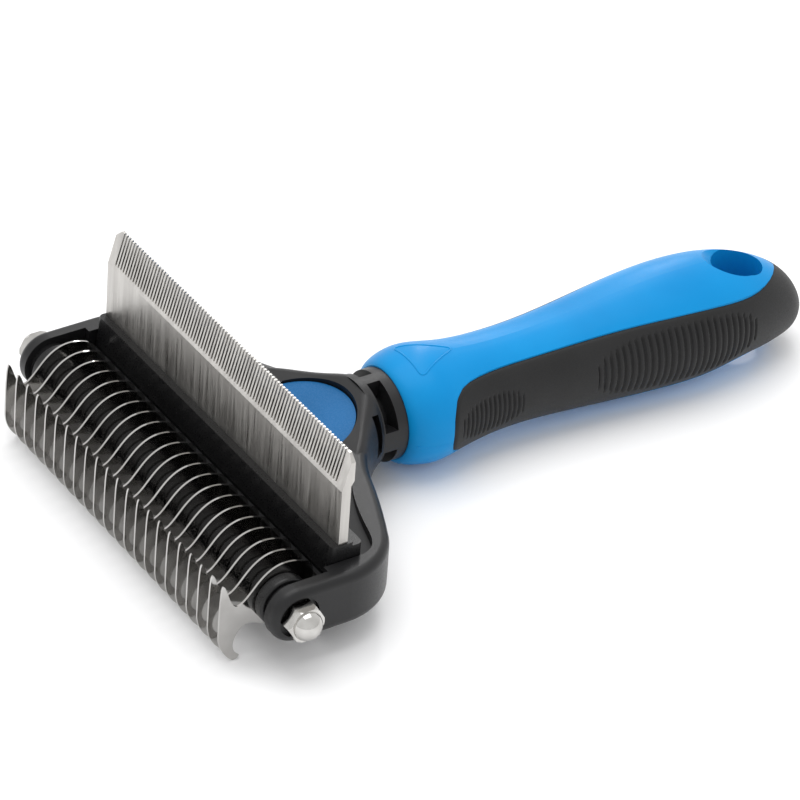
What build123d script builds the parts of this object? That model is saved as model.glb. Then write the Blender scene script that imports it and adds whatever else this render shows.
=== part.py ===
from build123d import *
import math
import os

# ---------------------------------------------------------------- driving sizes, mm
# Working frame: rake rod axis on Y through X = 0, just below Z = 0. Handle along +X, fine blade up.
floor_z = -14.3
axis_z = -0.6
blade_count = 22
blade_pitch = 4.475
blade_thick = 0.5
rod_r = 2.5
rod_flat = 2.0
spacer_r = 4.7
lug_r = 6.75
lug_in = 52.4
lug_out = 56.2
cbore_r = 4.95
cbore_floor = 55.2
nut_af = 8.0
nut_hex_out = 59.5
nut_tip = 62.4
neck_r = 10.9
neck_z = -0.7
edge_round = 2.0
top_z = axis_z + lug_r
bottom_z = axis_z - lug_r
collar_x = 57.0
end_x = 172.7
plate_half = 50.0
plate_front = 13.0
plate_back = 15.3
plate_step = 16.05
plate_break_z = 24.2
plate_top_z = 32.9
groove_count = 86
groove_span = 93.94
groove_w = 0.55
groove_low = 24.9
groove_r = 4.3
holder_half = 50.4
holder_front = 10.4
holder_back = 19.1
holder_low = -5.4
holder_top = 10.1
gap = 0.3
disc_x = 33.2
disc_r = 13.55
stem_r = 3.0
button_travel = 2.2
hole_x = 154.9
hole_r = 6.2
grip_skin = 2.0
seam = [(66.0, 17.0), (70.0, 11.0), (76.0, 8.5), (88.0, 7.3), (115.0, 9.0), (140.0, 11.5), (156.0, 9.0), (166.0, 0.0)]

origin_x = -(end_x - 14.75) / 2
place = Pos(origin_x, 0, -floor_z)

# handle stations: x, half width, half height, centre height
stations = [
    (57.0, 11.2, 11.2, -0.7), (58.0, 12.5, 12.1, -0.8), (60.0, 13.7, 12.8, -0.8), (63.0, 14.6, 13.4, -0.8),
    (66.0, 14.8, 13.6, -0.8), (70.0, 14.2, 13.1, -0.8), (75.0, 13.2, 12.2, -0.9), (84.0, 12.3, 11.3, -0.9),
    (98.0, 12.5, 11.5, -1.0), (112.0, 13.8, 12.6, -0.9), (126.0, 15.2, 13.7, -0.6), (140.0, 15.7, 13.9, -0.4),
    (152.0, 14.0, 12.7, -0.4), (159.4, 12.2, 11.2, -1.3), (164.9, 10.2, 9.4, -2.4), (168.6, 8.0, 7.4, -3.4),
    (171.0, 5.5, 5.1, -4.3), (172.2, 3.0, 2.8, -5.0), (172.7, 0.9, 0.9, -5.3),
]


def box(x0, x1, y0, y1, z0, z1):
    """Solid box between two corners."""
    return Pos((x0 + x1) / 2, (y0 + y1) / 2, (z0 + z1) / 2) * Box(x1 - x0, y1 - y0, z1 - z0)


def cyl_y(x, z, r, y0, y1):
    """Cylinder along Y from y0 to y1."""
    return Pos(x, (y0 + y1) / 2, z) * Rot(90, 0, 0) * Cylinder(r, y1 - y0)


def cyl_z(x, y, r, z0, z1):
    """Cylinder along Z from z0 to z1."""
    return Pos(x, y, (z0 + z1) / 2) * Cylinder(r, z1 - z0)


def plan_prism(edges, z0, z1):
    """Closed outline in the XY plane, extruded from z0 to z1."""
    return Pos(0, 0, z0) * extrude(make_face(edges), z1 - z0)


def handle_form(shrink, first, last):
    """Smooth body through the elliptical stations, pulled in by shrink."""
    rings = []
    for x, half_w, half_h, zc in stations[first:last]:
        plane = Plane(origin=(x, 0, zc), x_dir=(0, 0, 1), z_dir=(1, 0, 0))
        rings.append(plane * make_face(Ellipse(half_h - shrink, half_w - shrink).edges()))
    return loft(rings)


# ---------------------------------------------------------------- head frame
def flank_outline():
    """Half plan of the shoulder: outer arm line and the flank in tangent arcs."""
    first = TangentArc((13.0, lug_out), (28.6, 46.4), tangent=(1, 0))
    second = TangentArc((28.6, 46.4), (36.6, 26.8), tangent=first % 1)
    third = TangentArc((36.6, 26.8), (44.0, 14.6), tangent=second % 1)
    return [
        Line((0, 0), (0, lug_out)),
        Line((0, lug_out), (13.0, lug_out)),
        first,
        second,
        third,
        Line((44.0, 14.6), (44.0, 0)),
        Line((44.0, 0), (0, 0)),
    ]


def neck_blend():
    """Rounded sections that grow from the slab round the button into the round neck."""
    sections = [
        (35.8, 23.0, 5.8, bottom_z + 0.1, 3.0), (38.0, 21.8, 6.3, bottom_z, 4.0),
        (41.0, 19.3, 6.95, -7.7, 5.0), (44.0, 16.2, 7.7, -8.5, 6.2), (47.5, 12.9, 9.0, -10.2, 8.2),
        (50.9, neck_r - 0.3, neck_z + neck_r - 0.3, neck_z - neck_r + 0.3, neck_r - 0.5),
    ]
    rings = []
    for x, half_w, high, low, corner in sections:
        plane = Plane(origin=(x, 0, (high + low) / 2), x_dir=(0, 1, 0), z_dir=(1, 0, 0))
        rings.append(plane * RectangleRounded(2 * half_w, high - low, corner))
    return loft(rings)


def shoulder():
    """Slab with rounded outer edges, closed by round lugs in front and the neck behind."""
    half = Pos(0, 0, bottom_z) * extrude(make_face(flank_outline()), 2 * lug_r)
    outer = [e for e in half.edges() if abs(e.center().Z - axis_z) > lug_r - 0.3 and e.center().Y > 14.7]
    half = fillet([e for e in outer if e.bounding_box().size.X > 5], edge_round)
    lug = cyl_y(0, axis_z, lug_r, lug_in, lug_out)
    rims = lug.edges().filter_by(GeomType.CIRCLE).sort_by(Axis.Y)
    lug = fillet(rims[-1], edge_round)
    half = half - box(-1, 9.0, -1, lug_in, -9, 9)
    half = half + lug
    return half + mirror(half, Plane.XZ) - dish_cutter() + neck_blend()


def neck_window(x0, x1, start, sweep, depth_r):
    """Ring sector cutter round the neck axis, angles from +Y towards +Z."""
    outer = neck_r + 6
    ring = [Line((depth_r * math.cos(math.radians(start)), depth_r * math.sin(math.radians(start))),
                 (outer * math.cos(math.radians(start)), outer * math.sin(math.radians(start))))]
    ring.append(CenterArc((0, 0), outer, start, sweep))
    end = start + sweep
    ring.append(Line((outer * math.cos(math.radians(end)), outer * math.sin(math.radians(end))),
                     (depth_r * math.cos(math.radians(end)), depth_r * math.sin(math.radians(end)))))
    ring.append(CenterArc((0, 0), depth_r, start, sweep))
    plane = Plane(origin=(x0, 0, neck_z), x_dir=(0, 1, 0), z_dir=(1, 0, 0))
    return extrude(plane * make_face(ring), x1 - x0)


def dish_cutter():
    """Leaf shaped recess over each shoulder with a floor that rises to the neck."""
    half = [(25.0, 43.0), (30.0, 29.0), (36.0, 19.0)]
    far = Spline((18.0, 50.7), *half, (40.0, 0), tangents=((1, 0), (0, -1)))
    near = Spline((18.0, -50.7), *[(x, -y) for x, y in half], (40.0, 0), tangents=((1, 0), (0, 1)))
    back = Line((18.0, -50.7), (18.0, 50.7))
    block = plan_prism([far, near, back], -2, 14)
    keep_low = Pos(33.2, 0, 5.35 - 10) * Rot(0, -10.8, 0) * Box(90, 130, 20)
    return block - keep_low


def head_frame():
    body = shoulder()
    neck = Pos((49.0 + collar_x) / 2, 0, neck_z) * Rot(0, 90, 0) * Cylinder(neck_r, collar_x - 49.0)
    body = body + neck
    tang = box(collar_x - 1, 103.0, -4.5, 4.5, neck_z - 4.5, neck_z + 4.5)
    body = body + tang
    channel = box(holder_front - gap, holder_back + gap, -50.7, 50.7, holder_low - gap, 14)
    body = body - channel
    body = body - box(0, holder_front + 0.5, -50.7, 50.7, 2.5, 14)
    well = cyl_z(disc_x, 0, disc_r + gap, -5.0, 14)
    body = body - well
    body = body - box(holder_back, disc_x, -8.4, 8.4, -5.0, -2.3)
    body = body - cyl_z(disc_x, 0, stem_r + 0.06, -12, 0)
    for side in (-1, 1):
        body = body - box(disc_x - 4.4, disc_x + 4.4, side * 11.45 - 1.25, side * 11.45 + 1.25, -9, 0)
        lug_bore = cyl_y(0, axis_z, rod_r + 0.1, *sorted((side * 50.0, side * 60.0)))
        lug_sink = cyl_y(0, axis_z, cbore_r, *sorted((side * cbore_floor, side * 60.0)))
        body = body - lug_bore - lug_sink
    for start in (14, 98, 194, 278):
        body = body - neck_window(50.9, 54.3, start, 68, 6.0)
    for start in (-6, 140):
        body = body - neck_window(47.3, 49.5, start, 46, 8.2)
    body = body - cyl_y(90.0, neck_z, 1.5, -20, 20)
    return body


# ---------------------------------------------------------------- handle and grip
def grip_region(side):
    """Plan of one half of the soft grip: a flank and half the end of the handle."""
    curve = Spline(*seam)
    edge = [curve @ (i / 36) for i in range(37)]
    outline = Polyline(*[(p.X, side * p.Y) for p in edge], (185.0, 0), (185.0, side * 24.0),
                       (66.0, side * 24.0), close=True)
    return plan_prism(outline.edges(), -30, 30)


def handle_pair():
    """Rigid core and the soft grip moulded over its flanks and end."""
    full = handle_form(0, 0, len(stations))
    inner = handle_form(grip_skin, 3, len(stations) - 2)
    skin = full - inner
    grip = (skin & grip_region(1)) + (skin & grip_region(-1))
    core = full - grip
    core = core - cyl_z(hole_x, 0, hole_r, -30, 30)
    core = core - Pos(hole_x, 0, 11.6) * Cone(hole_r - 0.6, hole_r + 3.4, 4.0)
    core = core - box(collar_x - 1, 103.1, -4.5, 4.5, neck_z - 4.5, neck_z + 4.5)
    core = core - cyl_y(90.0, neck_z, 1.5, -9.0, 9.0)
    return core, grip


def tang_pin():
    return cyl_y(90.0, neck_z, 1.5, -9.0, 9.0)


# ---------------------------------------------------------------- rake
def rake_outline():
    """Side shape of one hooked blade."""
    back = Spline((8.6, 0.0), (7.8, 5.5), (4.5, 7.2), (-5.0, 4.6), (-11.5, 1.0), (-14.75, -6.5),
                  tangents=((0, 1), (0, -1)))
    hook = TangentArc((-14.75, -6.5), (-11.0, -14.2), tangent=(0, -1))
    tip = ThreePointArc((-11.0, -14.2), (-10.4, -14.25), (-9.3, -13.3))
    belly = Spline((-9.3, -13.3), (-10.9, -9.0), (-8.2, -5.6), (-3.0, -7.0), (1.0, -7.6), (8.6, 0.0))
    return [back, hook, tip, belly]


def rod_section(r, flat, y0, y1):
    """Round rod with two flats, above and below."""
    return cyl_y(0, axis_z, r, y0, y1) & box(-9, 9, y0, y1, axis_z - flat, axis_z + flat)


def rake_blade(y):
    face = Plane.XZ * make_face(rake_outline())
    blade = Pos(0, y + blade_thick / 2, 0) * extrude(face, blade_thick)
    return blade - rod_section(rod_r, rod_flat, y - 1, y + 1)


def spacer(y0, y1):
    ring = cyl_y(0, axis_z, spacer_r, y0, y1) - cyl_y(0, axis_z, rod_r, y0, y1)
    return chamfer(ring.edges().filter_by(GeomType.CIRCLE).sort_by(SortBy.RADIUS)[-2:], 0.35)


def end_bush(side):
    y0 = blade_pitch * (blade_count - 1) / 2 + blade_thick / 2
    body = fillet(cyl_y(0, axis_z, 6.2, y0, 50.5).edges().filter_by(GeomType.CIRCLE), 0.8)
    body = body + cyl_y(0, axis_z, 5.2, 50.0, lug_in)
    body = body - cyl_y(0, axis_z, rod_r, y0, lug_in)
    return body if side > 0 else mirror(body, Plane.XZ)


def rake_rod():
    stack = blade_pitch * (blade_count - 1) / 2 + blade_thick / 2
    middle = rod_section(rod_r, rod_flat, -stack, stack)
    return middle + cyl_y(0, axis_z, rod_r, stack, 58.6) + cyl_y(0, axis_z, rod_r, -58.6, -stack)


def cap_nut(side):
    """Domed hexagon nut seated in the counterbore."""
    hexagon = Plane(origin=(0, cbore_floor, axis_z), x_dir=(1, 0, 0), z_dir=(0, 1, 0)) * RegularPolygon(
        nut_af / 2, 6, major_radius=False)
    height = nut_hex_out - cbore_floor
    nut = extrude(hexagon, height)
    cone = Plane(origin=(0, cbore_floor + height / 2, axis_z), x_dir=(1, 0, 0), z_dir=(0, 1, 0)) * Cone(
        nut_af / 2 + 2.2, nut_af / 2 + 0.2, height)
    nut = nut & cone
    drop = nut_tip - nut_hex_out
    dome_r = 3.6
    dome = Pos(0, nut_hex_out + drop - dome_r, axis_z) * Sphere(dome_r)
    dome = dome + cyl_y(0, axis_z, dome_r, nut_hex_out - 1.6, nut_hex_out + drop - dome_r)
    dome = dome & box(-9, 9, nut_hex_out - 1.4, nut_tip + 1, -9, 9)
    nut = nut + dome
    nut = nut - cyl_y(0, axis_z, rod_r, cbore_floor - 1, 58.6)
    return nut if side > 0 else mirror(nut, Plane.XZ)


# ---------------------------------------------------------------- fine blade cartridge
screw_y = (-34.0, 0.0, 34.0)


def screw_shape(y):
    """Countersunk screw along X, head at the back of the holder."""
    shank = Pos(15.0, y, 3.0) * Rot(0, 90, 0) * Cylinder(1.2, 7.0)
    head = Pos(18.45, y, 3.0) * Rot(0, 90, 0) * Cone(1.2, 2.2, 1.0)
    return shank + head


def fine_blade():
    profile = Polyline(
        (plate_front, 0.5), (plate_front, plate_break_z), (plate_step - 0.6, plate_top_z),
        (plate_step, plate_top_z), (plate_step, 26.3), (plate_back, 25.1), (plate_back, 0.5), close=True,
    )
    face = Plane.XZ * make_face(profile.edges())
    plate = Pos(0, plate_half, 0) * extrude(face, 2 * plate_half)
    pitch = groove_span / (groove_count - 1)
    front, back, above = plate_front - 1.0, plate_front - 1.0 + groove_r, plate_top_z + 4.0
    wheel = Plane.XZ * make_face([
        TangentArc((front, groove_low), (back, groove_low + groove_r), tangent=(1, 0)),
        Line((back, groove_low + groove_r), (back, above)),
        Line((back, above), (front, above)),
        Line((front, above), (front, groove_low)),
    ])
    groove = Pos(0, groove_w / 2, 0) * extrude(wheel, groove_w)
    cuts = [Pos(0, -groove_span / 2 + i * pitch, 0) * groove for i in range(groove_count)]
    for side in (-1, 1):
        cuts.append(Pos(15, side * plate_half, plate_top_z) * Rot(45, 0, 0) * Box(8, 2.4, 2.4))
    for y in screw_y:
        cuts.append(Pos(15.0, y, 3.0) * Rot(0, 90, 0) * Cylinder(1.2, 9.0))
    return plate - cuts


def blade_holder():
    bar = box(holder_front, holder_back, -holder_half, holder_half, holder_low, holder_top)
    slope = Pos(holder_front - 4.45, 0, 4.0) * Rot(0, 6, 0) * Box(9, 110, 30)
    bar = bar - slope
    ends = [e for e in bar.edges().filter_by(Axis.Y, reverse=True) if abs(e.center().Y) > holder_half - 0.1]
    bar = fillet([e for e in ends if e.bounding_box().size.Z > 5], 1.2)
    bar = bar - box(16.4, 25, -60, 60, 9.2, 14)
    bar = bar - box(plate_front, plate_back, -plate_half, plate_half, 0.5, 14)
    for y in screw_y:
        bar = bar - Pos(15.0, y, 3.0) * Rot(0, 90, 0) * Cylinder(1.2, 7.0)
        bar = bar - Pos(18.45, y, 3.0) * Rot(0, 90, 0) * Cone(1.2, 2.2, 1.0)
        bar = bar - Pos(19.5, y, 3.0) * Rot(0, 90, 0) * Cylinder(2.2, 1.2)
    return bar


def blade_screws():
    return Compound(children=[screw_shape(y) for y in screw_y])


# ---------------------------------------------------------------- release button and clamp
def release_button():
    cap = cyl_z(disc_x, 0, disc_r, 0.0, 12)
    cap = cap - Pos(disc_x, 0, 5.0 + 10) * Rot(0, -10.8, 0) * Box(60, 60, 20)
    cap = cap - Pos(disc_x, 0, 5.0) * Rot(0, -10.8, 0) * Pos(0, 0, 89.55) * Sphere(90.0)
    body = cap + cyl_z(disc_x, 0, stem_r, -7.0, 1)
    for side in (-1, 1):
        leg = box(disc_x - 4.0, disc_x + 4.0, side * 11.45 - 0.85, side * 11.45 + 0.85, -4.8, 1)
        slot = [(-2.2, -3.4), (1.2, 0.0)]
        low = slot[0]
        high = slot[1]
        track = Pos(disc_x + low[0], side * 11.45, low[1]) * Rot(90, 0, 0) * Cylinder(0.95, 3)
        track = track + Pos(disc_x + high[0], side * 11.45, high[1]) * Rot(90, 0, 0) * Cylinder(0.95, 3)
        run = math.hypot(high[0] - low[0], high[1] - low[1])
        mid = ((low[0] + high[0]) / 2, (low[1] + high[1]) / 2)
        track = track + Pos(disc_x + mid[0], side * 11.45, mid[1]) * Rot(0, -45, 0) * Box(run, 3, 1.9)
        body = body + (leg - track)
    return body


def button_spring():
    """Round wire spring round the stem, between the floor and the cap."""
    wire = 0.7
    radius = 4.4
    turns = 4
    height = 4.9 - wire
    path = Helix(pitch=height / turns, height=height, radius=radius)
    start = Plane(origin=path @ 0, z_dir=path % 0)
    coil = sweep(start * Circle(wire / 2), path=path)
    return Pos(disc_x, 0, -4.95 + wire / 2) * coil


def clamp_slide():
    """Sliding clamp plate with a pad that bears on the back of the holder."""
    plate = box(25.0, disc_x + 12, -10.2, 10.2, -4.7, -2.6)
    plate = plate & cyl_z(disc_x - button_travel, 0, disc_r - 0.1, -6, 0)
    plate = plate + box(holder_back + 0.05, 26.0, -8.0, 8.0, -4.7, -2.6)
    plate = plate - box(disc_x - 5.4 - 2.4, disc_x + 5.4, -5.4, 5.4, -6, 0)
    for side in (-1, 1):
        stud = cyl_y(disc_x - 2.2, -3.4, 0.87, *sorted((side * 9.5, side * 12.2)))
        plate = plate + stud
    return plate


# ---------------------------------------------------------------- export
os.makedirs("parts", exist_ok=True)
core, grip = handle_pair()
pieces = {
    "head_frame": head_frame(),
    "handle_core": core,
    "soft_grip": grip,
    "tang_pin": tang_pin(),
    "rake_rod": rake_rod(),
    "cap_nut_left": cap_nut(1),
    "cap_nut_right": cap_nut(-1),
    "end_bush_left": end_bush(1),
    "end_bush_right": end_bush(-1),
    "fine_blade": fine_blade(),
    "blade_holder": blade_holder(),
    "blade_screws": blade_screws(),
    "release_button": release_button(),
    "button_spring": button_spring(),
    "clamp_slide": clamp_slide(),
}
for i in range(blade_count):
    y = (i - (blade_count - 1) / 2) * blade_pitch
    pieces[f"rake_blade_{i + 1:02d}"] = rake_blade(y)
    if i < blade_count - 1:
        pieces[f"spacer_{i + 1:02d}"] = spacer(y + blade_thick / 2, y + blade_pitch - blade_thick / 2)
for name, shape in pieces.items():
    export_step(place * shape, f"parts/{name}.step")
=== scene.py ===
import bmesh
import bpy
import numpy as np
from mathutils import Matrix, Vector


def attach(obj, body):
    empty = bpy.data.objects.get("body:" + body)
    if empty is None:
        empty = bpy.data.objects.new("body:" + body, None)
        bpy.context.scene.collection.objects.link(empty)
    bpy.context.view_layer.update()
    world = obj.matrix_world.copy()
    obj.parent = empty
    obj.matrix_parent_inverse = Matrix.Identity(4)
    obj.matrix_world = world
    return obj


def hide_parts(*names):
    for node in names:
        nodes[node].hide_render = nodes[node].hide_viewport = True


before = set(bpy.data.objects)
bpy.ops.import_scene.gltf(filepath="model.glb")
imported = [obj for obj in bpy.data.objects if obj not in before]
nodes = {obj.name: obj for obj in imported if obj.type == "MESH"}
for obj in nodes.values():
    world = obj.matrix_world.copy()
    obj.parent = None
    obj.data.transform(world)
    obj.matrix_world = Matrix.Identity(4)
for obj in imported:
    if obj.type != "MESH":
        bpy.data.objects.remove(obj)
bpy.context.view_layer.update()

# ------------------------------------------------------------------ Fork
# One injection moulding in black glass-filled nylon: the two arms, the shoulder with the
# button well and the slotted neck. Its skin is a fine spark-eroded grain, a little shinier
# where hands and hair rub it.


def finish(name, **sockets):
    """New material; every constant is set on the shader's own socket."""
    mat = bpy.data.materials.new(name)
    mat.use_nodes = True
    shader = mat.node_tree.nodes["Principled BSDF"]
    for key, value in sockets.items():
        shader.inputs[key.replace("_", " ")].default_value = value
    return mat, mat.node_tree, shader


def noise(tree, scale, detail=2.0, stretch=(1, 1, 1)):
    """Noise on Object coordinates, stretched along the axes by a Mapping node."""
    coord = tree.nodes.new("ShaderNodeTexCoord")
    mapping = tree.nodes.new("ShaderNodeMapping")
    mapping.inputs["Scale"].default_value = stretch
    field = tree.nodes.new("ShaderNodeTexNoise")
    field.inputs["Scale"].default_value = scale
    field.inputs["Detail"].default_value = detail
    tree.links.new(coord.outputs["Object"], mapping.inputs["Vector"])
    tree.links.new(mapping.outputs["Vector"], field.inputs["Vector"])
    return field.outputs["Fac"]


def spread(tree, source, low, high, start=0.3, end=0.7):
    """Maps source from start..end to low..high."""
    ramp = tree.nodes.new("ShaderNodeMapRange")
    for key, value in (("From Min", start), ("From Max", end), ("To Min", low), ("To Max", high)):
        ramp.inputs[key].default_value = value
    tree.links.new(source, ramp.inputs["Value"])
    return ramp.outputs["Result"]


def tone(tree, shader, source, dark, light):
    """Base colour between two tones by source."""
    mix = tree.nodes.new("ShaderNodeMix")
    mix.data_type = "RGBA"
    mix.inputs["A"].default_value = (*dark, 1)
    mix.inputs["B"].default_value = (*light, 1)
    tree.links.new(source, mix.inputs["Factor"])
    tree.links.new(mix.outputs["Result"], shader.inputs["Base Color"])


def relief(tree, shader, source, strength, depth):
    """Fine height on the shader's normal, depth in metres."""
    bump = tree.nodes.new("ShaderNodeBump")
    bump.inputs["Strength"].default_value = strength
    bump.inputs["Distance"].default_value = depth
    tree.links.new(source, bump.inputs["Height"])
    tree.links.new(bump.outputs["Normal"], shader.inputs["Normal"])


def moulded(name, dark, light, rough, grain, shine=0.35):
    """Moulded plastic: slow tone drift, and one fine grain for gloss and height."""
    mat, tree, shader = finish(name, Specular_IOR_Level=shine)
    tone(tree, shader, spread(tree, noise(tree, 45.0, 3.0), 0.0, 1.0), dark, light)
    fine = noise(tree, 2600.0)
    tree.links.new(spread(tree, fine, rough - 0.05, rough + 0.07), shader.inputs["Roughness"])
    relief(tree, shader, fine, grain, 0.00004)
    return mat


def dress(name, mat):
    """Gives a carried-over piece its finish."""
    data = nodes[name].data
    data.materials.clear()
    data.materials.append(mat)


frame_black = moulded("frame_black", (0.0075, 0.0075, 0.008), (0.013, 0.013, 0.014), 0.36, 0.25)
dress("head_frame", frame_black)

# ------------------------------------------------------------------ Handle core
# Rigid blue moulding round the fork's tang: collar, spine along the top and the flared hang
# hole. Semi-gloss, coloured right through.

handle_blue = moulded("handle_blue", (0.003, 0.235, 0.57), (0.005, 0.275, 0.64), 0.34, 0.10, 0.12)
dress("handle_core", handle_blue)
pin_steel, tree, shader = finish("pin_steel", Metallic=1.0)
tone(tree, shader, noise(tree, 400.0), (0.32, 0.32, 0.33), (0.5, 0.5, 0.5))
tree.links.new(spread(tree, noise(tree, 900.0), 0.2, 0.4), shader.inputs["Roughness"])
dress("tang_pin", pin_steel)

# ------------------------------------------------------------------ Soft grip
# Black thermoplastic rubber moulded over both flanks and the end of the handle. Each flank
# has a long field of upright ribs under the palm and a short one behind the collar.

MM = 0.001
nose_x, end_x, floor_z = 14.75, 172.7, -14.3
shift_x, shift_z = -(end_x - nose_x) / 2, -floor_z
# length, half width, half height and centre height of each section
stations = [
    (57.0, 11.2, 11.2, -0.7), (58.0, 12.5, 12.1, -0.8), (60.0, 13.7, 12.8, -0.8), (63.0, 14.6, 13.4, -0.8),
    (66.0, 14.8, 13.6, -0.8), (70.0, 14.2, 13.1, -0.8), (75.0, 13.2, 12.2, -0.9), (84.0, 12.3, 11.3, -0.9),
    (98.0, 12.5, 11.5, -1.0), (112.0, 13.8, 12.6, -0.9), (126.0, 15.2, 13.7, -0.6), (140.0, 15.7, 13.9, -0.4),
    (152.0, 14.0, 12.7, -0.4), (159.4, 12.2, 11.2, -1.3), (164.9, 10.2, 9.4, -2.4), (168.6, 8.0, 7.4, -3.4),
    (171.0, 5.5, 5.1, -4.3), (172.2, 3.0, 2.8, -5.0), (172.7, 0.9, 0.9, -5.3),
]
station_x, station_w, station_h, station_z = np.array(stations).T
# where the rubber meets the blue on one flank: length and distance from the middle
seam_points = [
    (66.0, 17.0), (70.0, 11.0), (76.0, 8.5), (88.0, 7.3),
    (115.0, 9.0), (140.0, 11.5), (156.0, 9.0), (166.0, 0.0),
]
seam_point_x, seam_point_y = np.array(seam_points).T
grip_start, seam_end = 66.6, 166.0
columns = 57
palm_depth, thumb_depth = 0.75, 0.6
roll_depth, roll_width = 0.55, 0.9


def through(x, at, value):
    """Natural cubic spline through (at, value), read at x."""
    n = len(at)
    gap = np.diff(at)
    slope = np.diff(value) / gap
    system = np.eye(n)
    rows = np.arange(1, n - 1)
    system[rows, rows - 1] = gap[:-1]
    system[rows, rows] = 2 * (gap[:-1] + gap[1:])
    system[rows, rows + 1] = gap[1:]
    side = np.zeros(n)
    side[1:-1] = 6 * np.diff(slope)
    bend = np.linalg.solve(system, side)
    k = np.clip(np.searchsorted(at, x) - 1, 0, n - 2)
    t = x - at[k]
    first = slope[k] - gap[k] * (2 * bend[k] + bend[k + 1]) / 6
    return value[k] + t * (first + t * (bend[k] / 2 + t * (bend[k + 1] - bend[k]) / (6 * gap[k])))


chord = np.concatenate([[0], np.cumsum(np.hypot(np.diff(seam_point_x), np.diff(seam_point_y)))])
seam_run = np.linspace(0, chord[-1], 400)
seam_x = through(seam_run, chord, seam_point_x)
seam_y = through(seam_run, chord, seam_point_y)


def handle_point(x, angle, proud=0.0):
    """Point on the handle at length x: an ellipse in the cross plane, angle 0 at the
    side and 90 degrees on top, proud mm outside the surface."""
    w = through(x, station_x, station_w) + proud
    h = through(x, station_x, station_h) + proud
    z = through(x, station_x, station_z)
    return x, w * np.cos(angle), z + h * np.sin(angle)


def rib_grooves(x, z, first, last, count, middle, reach, crest_share=0.40, oval=2.6, end_run=1.1):
    """Depth of the grooves between upright ribs, 0 to 1: none on each rib's half-round
    crest, ended above and below on a superellipse of the row's length."""
    pitch = (last - first) / count
    turn = (x - first) / pitch
    rib_x = first + (np.floor(turn) + 0.5) * pitch
    crest = np.sqrt(np.clip(1 - ((turn % 1 - 0.5) / crest_share) ** 2, 0, 1))
    along_row = np.clip(np.abs((rib_x - (first + last) / 2) / ((last - first) / 2)), 0, 1)
    half = reach * (1 - along_row**oval) ** (1 / oval)
    ends = np.clip((half - np.abs(z - middle)) / end_run, 0, 1)
    inside = (x > first) & (x < last)
    return (1 - crest) * np.sqrt(1 - (1 - ends) ** 2) * inside


def surface(name, points, faces, mat):
    """New piece from arrays of points in mm of the working frame and of faces."""
    placed = (np.reshape(points, (-1, 3)) + (shift_x, 0, shift_z)) * MM
    data = bpy.data.meshes.new(name)
    data.from_pydata(placed.tolist(), [], faces.tolist())
    data.polygons.foreach_set("use_smooth", np.ones(len(faces), bool))
    data.materials.append(mat)
    data.update()
    piece = bpy.data.objects.new(name, data)
    bpy.context.scene.collection.objects.link(piece)
    return piece


def grid_faces(rows, columns, start=0, wrap=False):
    """Quads of a rows by columns grid of points; wrap joins the last column to the first."""
    row, column = np.meshgrid(np.arange(rows - 1), np.arange(columns - (not wrap)), indexing="ij")
    after = (column + 1) % columns
    here, ahead = row * columns, (row + 1) * columns
    quads = [here + column, ahead + column, ahead + after, here + after]
    return start + np.stack(quads, -1).reshape(-1, 4)


def weld(piece, reach=1e-6):
    """Merges doubles, drops collapsed faces and turns every face outwards."""
    mesh = bmesh.new()
    mesh.from_mesh(piece.data)
    bmesh.ops.remove_doubles(mesh, verts=mesh.verts, dist=reach)
    bmesh.ops.dissolve_degenerate(mesh, edges=mesh.edges, dist=reach)
    bmesh.ops.recalc_face_normals(mesh, faces=mesh.faces)
    mesh.to_mesh(piece.data)
    mesh.free()


# first, last and step of each stretch of rings, finest over the ribs and at the seam's end
stretches = [
    (66.72, 69.0, 0.3), (69.0, 88.8, 0.17), (88.8, 106.8, 0.9), (106.8, 152.6, 0.215), (152.6, 164.2, 0.7),
    (164.2, 166.3, 0.14), (166.3, 172.5, 0.5),
]
grip_x = np.concatenate([np.arange(*stretch) for stretch in stretches] + [[end_x, end_x + 0.02]])
along, turn = np.meshgrid(grip_x, np.linspace(-1, 1, columns), indexing="ij")
half_w = through(along, station_x, station_w)
seam = np.clip(np.interp(along, seam_x, seam_y), 0, None)
angle = turn * np.arccos(np.clip(seam / half_w, 0, 1))
x, y, z = handle_point(along, angle)
steep = np.gradient(np.interp(grip_x, seam_x, seam_y), grip_x)[:, None]
beside, behind = (y - seam) / np.sqrt(1 + steep**2), np.hypot(along - seam_end, y)
to_seam = np.minimum(np.where(along < seam_end, beside, behind), (along - grip_start) * 1.2)
roll = -roll_depth * (1 - np.clip(to_seam / roll_width, 0, 1)) ** 2
palm = rib_grooves(along, z, first=107.6, last=151.8, count=25, middle=0.4, reach=7.3)
thumb = rib_grooves(along, z, first=69.8, last=87.6, count=13, middle=-0.6, reach=4.6)
x, y, z = handle_point(along, angle, roll - palm_depth * palm - thumb_depth * thumb)
tip = along > end_x + 0.01
z = np.where(tip, stations[-1][3], z)
flanks = [np.stack([x, np.where(tip, 0, side * y), z], -1).reshape(-1, 3) for side in (-1, 1)]
rows = len(grip_x)
faces = np.concatenate([grid_faces(rows, columns), grid_faces(rows, columns, rows * columns)[:, ::-1]])
rubber, tree, shader = finish("grip_rubber", Specular_IOR_Level=0.36, Sheen_Weight=0.04, Sheen_Roughness=0.5)
drift = spread(tree, noise(tree, 60.0, 3.0), 0.0, 1.0)
tone(tree, shader, drift, (0.006, 0.006, 0.0064), (0.011, 0.011, 0.0114))
pores = noise(tree, 3400.0, 3.0)
tree.links.new(spread(tree, pores, 0.50, 0.66), shader.inputs["Roughness"])
relief(tree, shader, pores, 0.4, 0.00004)
grip = surface("ribbed_grip", np.concatenate(flanks), faces, rubber)
weld(grip)
wall = grip.modifiers.new("wall", "SOLIDIFY")
wall.thickness = 1.4 * MM
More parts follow.
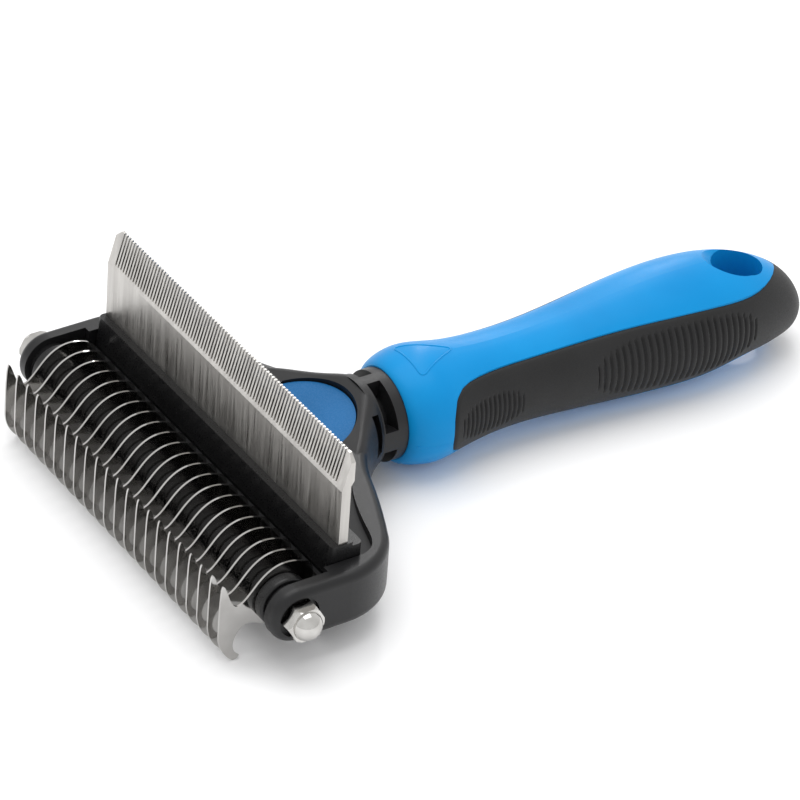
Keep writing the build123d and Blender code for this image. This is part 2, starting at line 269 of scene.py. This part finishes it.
wall.offset = -1
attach(grip, "comb")
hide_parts("soft_grip")

# ------------------------------------------------------------------ Marks of the handle's mould
# The blue collar carries a fine raised triangle on top and a parting line on each side,
# all left by the steel of the mould in the same plastic.


def bead(path, radius, closed, sides=8):
    """Round bead along a path: rings across the path's tangent; open ends shrink to a point."""
    step = np.roll(path, -1, 0) - np.roll(path, 1, 0)
    if not closed:
        step[0], step[-1] = path[1] - path[0], path[-1] - path[-2]
    step /= np.linalg.norm(step, axis=1, keepdims=True)
    out = np.cross(step, (0, 0.31, 0.95))
    out /= np.linalg.norm(out, axis=1, keepdims=True)
    up = np.cross(out, step)
    reach = np.full(len(path), radius)
    if not closed:
        reach[[0, -1]] = 0
    around = np.linspace(0, 2 * np.pi, sides, endpoint=False)
    ring = out[:, None] * np.cos(around)[None, :, None] + up[:, None] * np.sin(around)[None, :, None]
    points = path[:, None] + ring * reach[:, None, None]
    quads = grid_faces(len(path), sides, 0, True)
    if closed:
        first, last = np.arange(sides), (len(path) - 1) * sides + np.arange(sides)
        joint = np.stack([last, first, np.roll(first, -1), np.roll(last, -1)], -1)
        quads = np.concatenate([quads, joint])
    return points.reshape(-1, 3), quads


corner = np.array([(62.6, -6.6), (75.2, 0.0), (62.6, 6.6)])
inset, triangle_bead, line_bead = 2.1, 0.28, 0.15
turns = np.linspace(0, 1, 14)[:, None]
outline = []
for k in range(3):
    here, back, ahead = corner[k], corner[k - 1], corner[(k + 1) % 3]
    start = here + (back - here) / np.linalg.norm(back - here) * inset
    stop = here + (ahead - here) / np.linalg.norm(ahead - here) * inset
    arc = (1 - turns) ** 2 * start + 2 * turns * (1 - turns) * here + turns**2 * stop
    following = ahead + (here - ahead) / np.linalg.norm(here - ahead) * inset
    straight = stop + (following - stop) * np.linspace(0, 1, 22)[1:-1, None]
    outline += [arc, straight]
plan = np.concatenate(outline)
lift = np.arcsin(np.clip(plan[:, 1] / through(plan[:, 0], station_x, station_w), -1, 1))
tri_x, tri_y, tri_z = handle_point(plan[:, 0], np.pi / 2 - lift, -0.10)
marks = [bead(np.stack([tri_x, tri_y, tri_z], -1), triangle_bead, True)]
line_x = np.linspace(58.2, 66.1, 40)
for side in (-1, 1):
    x, y, z = handle_point(line_x, np.full(40, -0.16), -0.09)
    marks.append(bead(np.stack([x, side * y, z], -1), line_bead, False))
starts = np.cumsum([0] + [len(points) for points, quads in marks[:-1]])
mark_points = np.concatenate([points for points, quads in marks])
mark_faces = np.concatenate([quads + first for (points, quads), first in zip(marks, starts)])
mould_marks = surface("mould_marks", mark_points, mark_faces, handle_blue)
weld(mould_marks)
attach(mould_marks, "comb")

# ------------------------------------------------------------------ Rod, nuts and bushes
# Steel rod with two flats through both arms, held by chromed cap nuts; black nylon bushes
# fill the ends between the rake and the arms.

rod_steel, tree, shader = finish("rod_steel", Metallic=1.0)
tone(tree, shader, noise(tree, 300.0, 2.0, (1, 12, 1)), (0.34, 0.34, 0.35), (0.52, 0.52, 0.52))
tree.links.new(spread(tree, noise(tree, 700.0), 0.18, 0.34), shader.inputs["Roughness"])
dress("rake_rod", rod_steel)
chrome, tree, shader = finish("nut_chrome", Metallic=1.0)
tone(tree, shader, spread(tree, noise(tree, 220.0), 0.0, 1.0), (0.46, 0.45, 0.43), (0.62, 0.61, 0.59))
tree.links.new(spread(tree, noise(tree, 900.0, 4.0), 0.07, 0.17), shader.inputs["Roughness"])
relief(tree, shader, noise(tree, 420.0), 0.12, 0.0001)
for name in ("cap_nut_left", "cap_nut_right"):
    dress(name, chrome)
bush_black = moulded("bush_black", (0.005, 0.005, 0.0054), (0.009, 0.009, 0.0094), 0.30, 0.12)
for name in ("end_bush_left", "end_bush_right"):
    dress(name, bush_black)

# ------------------------------------------------------------------ Rake
# Twenty-two hooked blades stamped from thin stainless sheet, faces polished like a mirror
# and edges tumbled bright, with a glossy black spacer between each two.

rake_steel, tree, shader = finish("rake_steel", Metallic=1.0)
tone(tree, shader, spread(tree, noise(tree, 120.0, 3.0), 0.0, 1.0), (0.46, 0.45, 0.435), (0.58, 0.57, 0.555))
tree.links.new(spread(tree, noise(tree, 800.0, 3.0), 0.07, 0.13), shader.inputs["Roughness"])
relief(tree, shader, noise(tree, 260.0), 0.05, 0.00005)
spacer_black = moulded("spacer_black", (0.006, 0.006, 0.0062), (0.011, 0.011, 0.0115), 0.18, 0.06)
for name in nodes:
    if name.startswith("rake_blade_"):
        dress(name, rake_steel)
    if name.startswith("spacer_"):
        dress(name, spacer_black)

# ------------------------------------------------------------------ Fine blade
# Plate of stainless steel, surface-ground along its height, with a bevel ground at the top
# and eighty-six grooves cut by a thin wheel.

blade_steel, tree, shader = finish("brushed_steel", Metallic=1.0, Anisotropic=0.45)
hair = noise(tree, 1500.0, 3.0, (1, 1, 0.035))
streak = noise(tree, 420.0, 3.0, (1, 1, 0.07))
tone(tree, shader, spread(tree, streak, 0.0, 1.0), (0.46, 0.445, 0.425), (0.58, 0.565, 0.54))
tree.links.new(spread(tree, hair, 0.26, 0.46), shader.inputs["Roughness"])
relief(tree, shader, hair, 0.22, 0.00004)
dress("fine_blade", blade_steel)

# ------------------------------------------------------------------ Blade holder
# Black moulded bar that the plate stands in, held by three countersunk steel screws.

dress("blade_holder", bush_black)
dress("blade_screws", pin_steel)

# ------------------------------------------------------------------ Release button
# Round dished cap in a deeper blue than the handle and glossier from use, on a steel coil
# spring, over the black clamp that it draws back.

button_blue = moulded("button_blue", (0.010, 0.115, 0.30), (0.018, 0.145, 0.37), 0.26, 0.08, 0.2)
dress("release_button", button_blue)
dress("clamp_slide", frame_black)
dress("button_spring", rod_steel)
for piece in nodes.values():
    piece.data.polygons.foreach_set("use_smooth", np.ones(len(piece.data.polygons), bool))

# ------------------------------------------------------------------ Studio
# White paper floor under a large overhead soft box, a narrow strip behind and an even
# white room.

data = bpy.data.meshes.new("floor")
edge = 6.0
data.from_pydata([(-edge, -edge, 0), (edge, -edge, 0), (edge, edge, 0), (-edge, edge, 0)], [], [(0, 1, 2, 3)])
paper, tree, shader = finish("paper", Roughness=0.8, Specular_IOR_Level=0.2)
tone(tree, shader, noise(tree, 30.0), (0.95, 0.95, 0.955), (0.965, 0.965, 0.97))
data.materials.append(paper)
floor = bpy.data.objects.new("floor", data)
bpy.context.scene.collection.objects.link(floor)

room = bpy.data.worlds.new("room")
bpy.context.scene.world = room
room.use_nodes = True
room.node_tree.nodes["Background"].inputs["Color"].default_value = (1, 1, 1, 1)
room.node_tree.nodes["Background"].inputs["Strength"].default_value = 0.92


def soft_box(name, place, aim, size, power):
    """Rectangular area light at place, turned to aim."""
    light = bpy.data.lights.new(name, "AREA")
    light.shape = "RECTANGLE"
    light.size, light.size_y = size
    light.energy = power
    lamp = bpy.data.objects.new(name, light)
    lamp.location = place
    lamp.rotation_euler = (Vector(aim) - Vector(place)).to_track_quat("-Z", "Y").to_euler()
    bpy.context.scene.collection.objects.link(lamp)


soft_box("overhead", (0.0, 0.15, 0.9), (0, 0, 0), (0.8, 0.8), 4.0)
soft_box("strip", (0.42, 0.6, 0.5), (0, 0, 0), (0.06, 0.8), 1.2)
bpy.context.scene.view_settings.view_transform = "Standard"

# the camera looks down over the fine blade towards the handle
lens = bpy.data.cameras.new("view")
lens.sensor_width = 36.0
lens.lens = 233.9
lens.clip_start = 0.05
camera = bpy.data.objects.new("view", lens)
camera.location = (-0.5738, -0.792, 0.6935)
camera.rotation_euler = np.radians((54.92, -3.44, -32.67))
bpy.context.scene.collection.objects.link(camera)
bpy.context.scene.camera = camera
